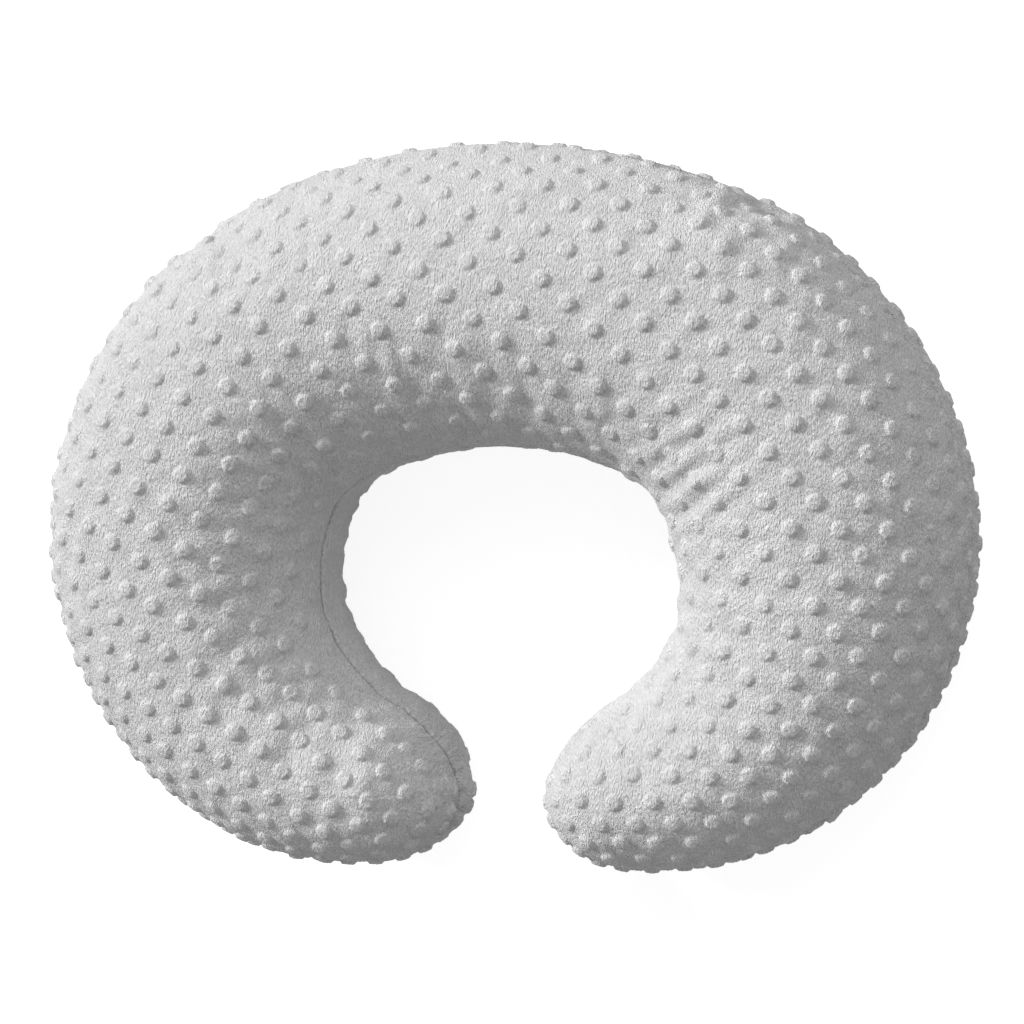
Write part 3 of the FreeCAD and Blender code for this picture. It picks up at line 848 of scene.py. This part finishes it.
def zip_coil(side, name, turn_points=12, squareness=2.2):
    """One half of the zip's nylon coil: a wire wound round a flat path along the tape's edge."""
    half_angle, outer, low, high = zip_box("zipper_coil_" + side)
    turns = int(2 * half_angle * outer / COIL_PITCH)
    phase = np.linspace(0, 2 * math.pi * turns, turns * turn_points)
    phase += 0.0 if side == "upper" else math.pi
    angle = np.linspace(-half_angle, half_angle, len(phase)) * COIL_SHARE
    upright = np.tanh(squareness * np.cos(phase)) / math.tanh(squareness)
    height = (low + high) / 2 + ((high - low) / 2 - COIL_WIRE) * upright
    radius = outer - COIL_THICK / 2 + (COIL_THICK / 2 - COIL_WIRE) * np.sin(phase)
    path = on_zip(angle, radius, height)
    along = np.stack([np.cos(angle), -np.sin(angle), np.zeros(len(angle))], -1)
    return swept(name, tube_rings(path, along, COIL_WIRE, sides=6))


def closing_stitches(name, count=12, path_points=13):
    """The hand stitches that close the casing: a short, slightly bowed thread for each."""
    low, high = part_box("casing_closing_stitches")
    outer = high[1] - ZIP_CENTRE.y
    thread = (high[2] - low[2]) / 2
    pitch = (high[0] - low[0] - STITCH_LENGTH) / (count - 1)
    share = np.linspace(-1, 1, path_points)
    sag = 0.2 * thread * (1 - share ** 2)
    size = thread * np.sqrt(np.clip(1 - share ** 8, 0.08, 1)) * 0.85
    stitches = []
    for number in range(count):
        middle = (low[0] + STITCH_LENGTH / 2 + number * pitch) / outer
        angle = middle + share * STITCH_LENGTH / 2 / outer
        path = on_zip(angle, outer - thread - 0.15 * thread + sag, (low[2] + high[2]) / 2)
        stitches.append(swept("stitch", tube_rings(path, np.array([0, 0, 1.0]),
                                                   size[:, None, None])))
    with bpy.context.temp_override(active_object=stitches[0], selected_objects=stitches,
                                   selected_editable_objects=stitches):
        bpy.ops.object.join()
    stitches[0].name = name
    return stitches[0]


def seam_binding(coarse, seam, name, corners=14, squareness=0.45):
    """Overlocked edge inside the cover: a narrow band along the seam, wound with thread, from
    one end of the zip round both arms to its other end."""
    points = coordinates(coarse)
    outward = normals(coarse)
    order = seam_order(coarse, seam)
    angle, radius = zip_place(points[order])
    order = order[(np.abs(angle) > TAPE_HALF_ANGLE) | (radius < FACE_RADIUS - BACK_DEPTH)]
    line, facing = points[order], outward[order]
    facing[:, 2] = 0
    facing /= np.linalg.norm(facing, axis=1)[:, None]
    travelled = lengths_along(line)
    wanted = np.arange(0, travelled[-1], BINDING_STEP)
    line, facing = (np.stack([np.interp(wanted, travelled, values[:, axis])
                              for axis in range(3)], -1) for values in (line, facing))
    line[:, 2] = SEAM_HEIGHT
    turn = np.linspace(0, 2 * math.pi, corners, endpoint=False)
    flat = np.sign(np.cos(turn)) * np.abs(np.cos(turn)) ** squareness
    rings = []
    for centre, out, distance in zip(line, facing, wanted):
        wrap = 0.5 + 0.5 * math.cos(distance / BINDING_WRAP * 2 * math.pi)
        tall = BINDING_HALF_HEIGHT * (0.86 + 0.14 * wrap)
        deep = BINDING_THICK * (0.55 + 0.45 * wrap)
        middle = centre - out * (BINDING_INSET + BINDING_THICK / 2)
        rings.append(middle + (flat * deep / 2)[:, None] * out
                     + np.sin(turn)[:, None] * np.array([0, 0, tall]))
    return swept(name, rings)


def seam_order(mesh, seam):
    """Points of the seam in their order round the pillow, from the zip's middle and back."""
    tree = cut_tree(cut_places(mesh), np.nonzero(seam)[0])
    right = cut_outline()
    left = right[::-1][1:-1] * np.array([-1, 1])
    return np.array([tree.find((x, y, 0.0))[1] for x, y in np.vstack([right, left])])


def label(node, width, side, name):
    """Blank satin label that hangs from the seam, slightly rippled."""
    low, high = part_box(node)
    outer = FACE_RADIUS - CASING_INSET + PART_GAP * 2 + LABEL_THICK
    return band(name, width / 2 / FACE_RADIUS, outer, low[2], high[2], LABEL_THICK,
                middle=side * LABEL_ANGLE, steps=60)


# ---- materials

class Nodes:
    """Short way to add and link a material's nodes."""

    def __init__(self, name):
        self.material = bpy.data.materials.new(name)
        self.material.use_nodes = True
        self.tree = self.material.node_tree

    def feed(self, socket, value):
        """Links an output to an input, or sets the input's own value."""
        if isinstance(value, bpy.types.NodeSocket):
            self.tree.links.new(value, socket)
        else:
            socket.default_value = value

    def fill(self, node, values):
        """Feeds a node's inputs, and sets its options. In an input's name _ is a space."""
        for key, value in values.items():
            socket = node.inputs.get(key.replace("_", " "))
            if socket is None:
                setattr(node, key, value)
            else:
                self.feed(socket, value)
        return node

    def add(self, kind, **values):
        return self.fill(self.tree.nodes.new("ShaderNode" + kind), values)

    def surface(self, **values):
        """Fills the shader's own inputs and returns the finished material."""
        self.fill(self.tree.nodes["Principled BSDF"], values)
        return self.material

    def attribute(self, name):
        return self.add("Attribute", attribute_name=name).outputs["Fac"]

    def texture(self, kind, scale, **values):
        """Texture on the cloth's flat places. scale is its X and Y scale per metre."""
        uv = self.add("UVMap", uv_map="Fabric").outputs["UV"]
        mapping = self.add("Mapping", Vector=uv, Scale=(*scale, 1))
        node = self.add("Tex" + kind, Scale=1.0, Vector=mapping.outputs["Vector"], **values)
        return node.outputs["Fac"]

    def ramp(self, source, *stops):
        node = self.add("ValToRGB", Fac=source)
        elements = node.color_ramp.elements
        while len(elements) < len(stops):
            elements.new(0.5)
        for element, (position, colour) in zip(elements, stops):
            element.position = position
            element.color = (*colour, 1)
        return node.outputs["Color"]

    def math(self, operation, first, second):
        node = self.add("Math", operation=operation)
        self.feed(node.inputs[0], first)
        self.feed(node.inputs[1], second)
        return node.outputs["Value"]

    def total(self, *parts):
        """Sum of outputs, each times its share."""
        scaled = [self.math("MULTIPLY", output, share) for output, share in parts]
        result = scaled[0]
        for part in scaled[1:]:
            result = self.math("ADD", result, part)
        return result

    def mix(self, factor, first, second, kind="MIX"):
        """Mix of two colours."""
        node = self.add("Mix", data_type="RGBA", blend_type=kind, Factor=factor)
        self.feed(node.inputs[6], first)
        self.feed(node.inputs[7], second)
        return node.outputs[2]

    def bump(self, height, strength, distance):
        node = self.add("Bump", Strength=strength, Distance=distance, Height=height)
        return node.outputs["Normal"]


def grey(value):
    return (value, value, value)


def darker(colour, share):
    return tuple(share * value for value in colour)


def plush_material():
    """Light grey minky: short nap that lies one way, raised dots whose tips get a painted
    highlight, and painted shade along the seam.
    """
    nodes = Nodes("plush")
    nap = nodes.texture("Noise", (1200, 420), Detail=2.0, Roughness=0.6)
    tufts = nodes.texture("Noise", (620, 270), Detail=3.0, Roughness=0.55)
    clouds = nodes.texture("Noise", (38, 30), Detail=2.0, Roughness=0.5)
    colour = nodes.ramp(nodes.total((nap, 0.7), (tufts, 0.3)), (0.36, grey(0.49)),
                        (0.5, grey(0.57)), (0.64, grey(0.65)))
    # Painted highlight: the colour is mixed a little paler where the raised dots stand, as if their
    # tips caught the light.
    dot_highlight = nodes.math("MULTIPLY", nodes.attribute("dot"), 0.06)
    highlighted = nodes.mix(dot_highlight, colour, (*grey(0.70), 1))
    # Painted shade: the colour is darkened within about two millimetres of the seam, where its
    # crease lies in shadow.
    seam_shade = nodes.add("MapRange", interpolation_type="SMOOTHSTEP",
                       Value=nodes.attribute("seam_distance"),
                       From_Min=0.0003, From_Max=0.0018, To_Min=0.52)
    shaded = nodes.mix(1.0, highlighted, seam_shade.outputs["Result"], "MULTIPLY")
    height = nodes.total((nap, 0.85), (tufts, 0.45), (clouds, 0.8))
    return nodes.surface(Base_Color=shaded, Normal=nodes.bump(height, 1.0, 0.0033),
                         Roughness=0.95, Specular_IOR_Level=0.15, Sheen_Weight=0.25,
                         Sheen_Roughness=0.55, Sheen_Tint=(1, 1, 1, 1))


def woven_material(name, colour, thread, relief):
    """Plain weave: warp and weft of one thread width, with slubs and slight colour changes."""
    nodes = Nodes(name)
    scale = WAVE_PERIOD / (2 * thread)
    warp, weft = (nodes.texture("Wave", (scale, scale), Distortion=0.4, bands_direction=way)
                  for way in "XY")
    slub = nodes.texture("Noise", (scale * 0.8, scale * 0.08), Detail=3.0, Roughness=0.6)
    weave = nodes.math("MAXIMUM", warp, weft)
    tone = nodes.total((weave, 0.4), (slub, 0.6))
    height = nodes.math("ADD", weave, nodes.math("MULTIPLY", slub, 0.5))
    return nodes.surface(Base_Color=nodes.ramp(tone, (0.2, darker(colour, 0.82)), (0.7, colour)),
                         Normal=nodes.bump(height, 0.7, relief), Roughness=0.88,
                         Sheen_Weight=0.15)


def thread_material(name, colour, twist):
    """Spun thread: a fine diagonal twist with fuzz."""
    nodes = Nodes(name)
    scale = WAVE_PERIOD / twist
    plies = nodes.texture("Wave", (scale, scale), Distortion=1.2, bands_direction="DIAGONAL")
    fuzz = nodes.texture("Noise", (3200, 900), Detail=4.0, Roughness=0.7)
    tone = nodes.total((plies, 0.5), (fuzz, 0.5))
    return nodes.surface(Base_Color=nodes.ramp(tone, (0.25, darker(colour, 0.7)), (0.7, colour)),
                         Normal=nodes.bump(tone, 0.8, 0.0004), Roughness=0.8,
                         Sheen_Weight=0.2)


def fibre_material():
    """Crimped white polyester fibre, in loose strands."""
    nodes = Nodes("loose_fibre")
    strands = nodes.texture("Noise", (260, 60), Detail=6.0, Roughness=0.7, Distortion=2.5)
    colour = nodes.ramp(strands, (0.3, (0.74, 0.74, 0.73)), (0.6, (0.93, 0.93, 0.92)))
    return nodes.surface(Base_Color=colour, Normal=nodes.bump(strands, 0.9, 0.002),
                         Roughness=1.0, Sheen_Weight=0.4)


def hard_material(name, colour, rough, metallic, grain):
    """Moulded nylon or painted metal: faint mottling, uneven gloss and worn, brighter edges."""
    nodes = Nodes(name)
    inside = nodes.add("TexCoord").outputs["Object"]
    mottle = nodes.add("TexNoise", Scale=grain, Detail=4.0, Roughness=0.6, Vector=inside)
    scuffs = nodes.add("TexNoise", Scale=grain * 6, Detail=2.0, Distortion=1.5,
                       Vector=inside).outputs["Fac"]
    edges = nodes.add("NewGeometry").outputs["Pointiness"]
    worn = nodes.math("MULTIPLY", nodes.ramp(edges, (0.50, grey(0)), (0.58, grey(1))), 0.35)
    base = nodes.ramp(mottle.outputs["Fac"], (0.3, darker(colour, 0.85)), (0.7, colour))
    gloss = nodes.math("ADD", nodes.math("MULTIPLY", scuffs, 0.25), rough - 0.12)
    return nodes.surface(Base_Color=nodes.mix(worn, base, (0.80, 0.80, 0.81, 1)), Roughness=gloss,
                         Normal=nodes.bump(scuffs, 0.15, 0.00005), Metallic=metallic)


# ---- making the pieces

def studio():
    """Pale floor, soft light from the upper left, and a plain white world."""
    scene = bpy.context.scene
    scene.view_settings.view_transform = "Standard"
    corners = [(x * FLOOR_HALF, y * FLOOR_HALF, 0) for x, y in ((-1, -1), (1, -1), (1, 1), (-1, 1))]
    floor = new_object("floor", corners, [(0, 1, 2, 3)])
    floor.data.materials.append(Nodes("floor_paper").surface(
        Base_Color=(*grey(0.38), 1), Roughness=0.9, Emission_Color=(1, 1, 1, 1),
        Emission_Strength=0.82))
    floor.visible_diffuse = False
    floor.visible_shadow = False
    scene.world = bpy.data.worlds.new("studio")
    scene.world.use_nodes = True
    background = scene.world.node_tree.nodes["Background"]
    background.inputs["Color"].default_value = (1, 1, 1, 1)
    background.inputs["Strength"].default_value = 0.50
    lamp("key", azimuth=150, elevation=26, energy=4.15, spread=20)
    lamp("fill", azimuth=80, elevation=36, energy=1.15, spread=60)


def lamp(name, azimuth, elevation, energy, spread):
    """A broad, far lamp: where it stands and how wide it is, in degrees, from +X towards +Y."""
    azimuth, elevation = math.radians(azimuth), math.radians(elevation)
    towards = Vector((math.cos(elevation) * math.cos(azimuth),
                      math.cos(elevation) * math.sin(azimuth), math.sin(elevation)))
    data = bpy.data.lights.new(name, "SUN")
    data.energy = energy
    data.angle = math.radians(spread)
    linked(name, data).rotation_euler = (-towards).to_track_quat("-Z", "Y").to_euler()


def camera():
    """The camera, nearly overhead, as the photograph was taken."""
    tilt_right = math.radians(18.9)
    tilt_front = math.radians(-3.9)
    roll = math.radians(-1.9)
    distance = 1.948
    seen_width = 0.5935
    target = Vector((0.0074, -0.0042, 0.072))
    towards = Vector((math.sin(tilt_right) * math.cos(tilt_front), -math.sin(tilt_front),
                      math.cos(tilt_right) * math.cos(tilt_front)))
    upward = Vector((0, 1, 0))
    upward = (upward - towards * upward.dot(towards)).normalized()
    right = upward.cross(towards)
    right, upward = (right * math.cos(roll) + upward * math.sin(roll),
                     upward * math.cos(roll) - right * math.sin(roll))
    data = bpy.data.cameras.new("camera")
    data.sensor_width = 36
    data.lens = data.sensor_width * distance / seen_width
    eye = linked("camera", data)
    turned = Matrix((right, upward, towards)).transposed().to_4x4()
    eye.matrix_world = Matrix.Translation(target + towards * distance) @ turned
    bpy.context.scene.camera = eye


studio()
camera()

sewn, seam_mask = sewn_cover()
settled = settle(sewn.data, *inflate(sewn, seam_mask))
move_points(sewn.data, settled)
coarse_mesh = sewn.data.copy()
subdivision = sewn.modifiers.new("Subdivision", "SUBSURF")
subdivision.levels = 3
fine_mesh = evaluated_mesh(sewn)
bpy.data.objects.remove(sewn)

MATERIALS = {
    "plush": plush_material(),
    "binding_thread": thread_material("binding_thread", (0.50, 0.50, 0.49), 0.0006),
    "casing_cloth": woven_material("casing_cotton", (0.84, 0.84, 0.83), 0.00035, 0.0003),
    "fibre": fibre_material(),
    "thread": thread_material("closing_thread", (0.86, 0.86, 0.86), 0.0004),
    "zip_tape": woven_material("zip_tape_weave", (0.52, 0.52, 0.52), 0.00040, 0.0003),
    "zip_coil": hard_material("nylon_coil", (0.52, 0.52, 0.52), 0.42, 0.0, 900),
    "zip_metal": hard_material("painted_zinc", (0.55, 0.55, 0.56), 0.36, 0.35, 500),
    "label": woven_material("label_satin", (0.90, 0.90, 0.89), 0.00015, 0.0001),
}


def finished(piece, slot, *stands_for):
    """Gives a piece its material, its slot and its body, and hides the CAD nodes it stands for."""
    piece.data.materials.clear()
    piece.data.materials.append(MATERIALS[slot])
    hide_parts(*stands_for)
    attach(piece, "pillow")
    return piece


def cut_size(inset):
    """(width and length, area) of a panel's flat cut, less an inset all round."""
    right = cut_outline()
    x, y = right[:, 0], right[:, 1]
    area = abs(np.dot(x, np.roll(y, -1)) - np.dot(y, np.roll(x, -1)))
    edge = 2 * np.hypot(*np.diff(right, axis=0).T).sum()
    return (2 * x.max() - 2 * inset, float(np.ptp(y)) - 2 * inset), float(area - edge * inset)


for side, dot_shift in (("top", 0.0), ("bottom", 0.37)):
    node = "cover_%s_panel" % side
    finished(cover_panel(fine_mesh, coarse_mesh, side, node + "_plush", dot_shift),
                            "plush", node)
    node = "casing_" + side
    finished(casing_panel(coarse_mesh, side, node + "_cloth"),
                             "casing_cloth", node)
fibre = finished(filling(coarse_mesh, "pillow_filling_fibre"), "fibre", "pillow_filling")
binding = finished(seam_binding(coarse_mesh, seam_mask, "cover_seam_binding_overlock"),
                   "binding_thread", "cover_seam_binding")
stitches = finished(closing_stitches("casing_closing_stitches_thread"), "thread",
                    "casing_closing_stitches")
for side in ("upper", "lower"):
    node = "zipper_tape_" + side
    finished(band(node + "_cloth", *zip_box(node), TAPE_THICK, steps=300),
                           "zip_tape", node)
    finished(zip_coil(side, "zipper_coil_%s_nylon" % side), "zip_coil",
                           "zipper_coil_" + side)
labels = [finished(label(node, width, side, node + "_satin"), "label", node)
          for node, width, side in (("care_label", CARE_LABEL_WIDTH, -1),
                                    ("law_label", LAW_LABEL_WIDTH, 1))]

for node in ("zipper_end_stop_upper", "zipper_end_stop_lower", "zipper_start_stop",
             "zipper_slider", "zipper_pull_tab"):
    part = frame["nodes"][node]
    part.material_slots[0].link = "OBJECT"
    part.material_slots[0].material = MATERIALS["zip_metal"]
    rounding = part.modifiers.new("Bevel", "BEVEL")
    rounding.width = BEVEL_WIDTH
    rounding.segments = 2
    rounding.limit_method = "ANGLE"
    rounding.angle_limit = math.radians(40)

flat, area = cut_size(0.0)
flat, area = cut_size(CASING_INSET)
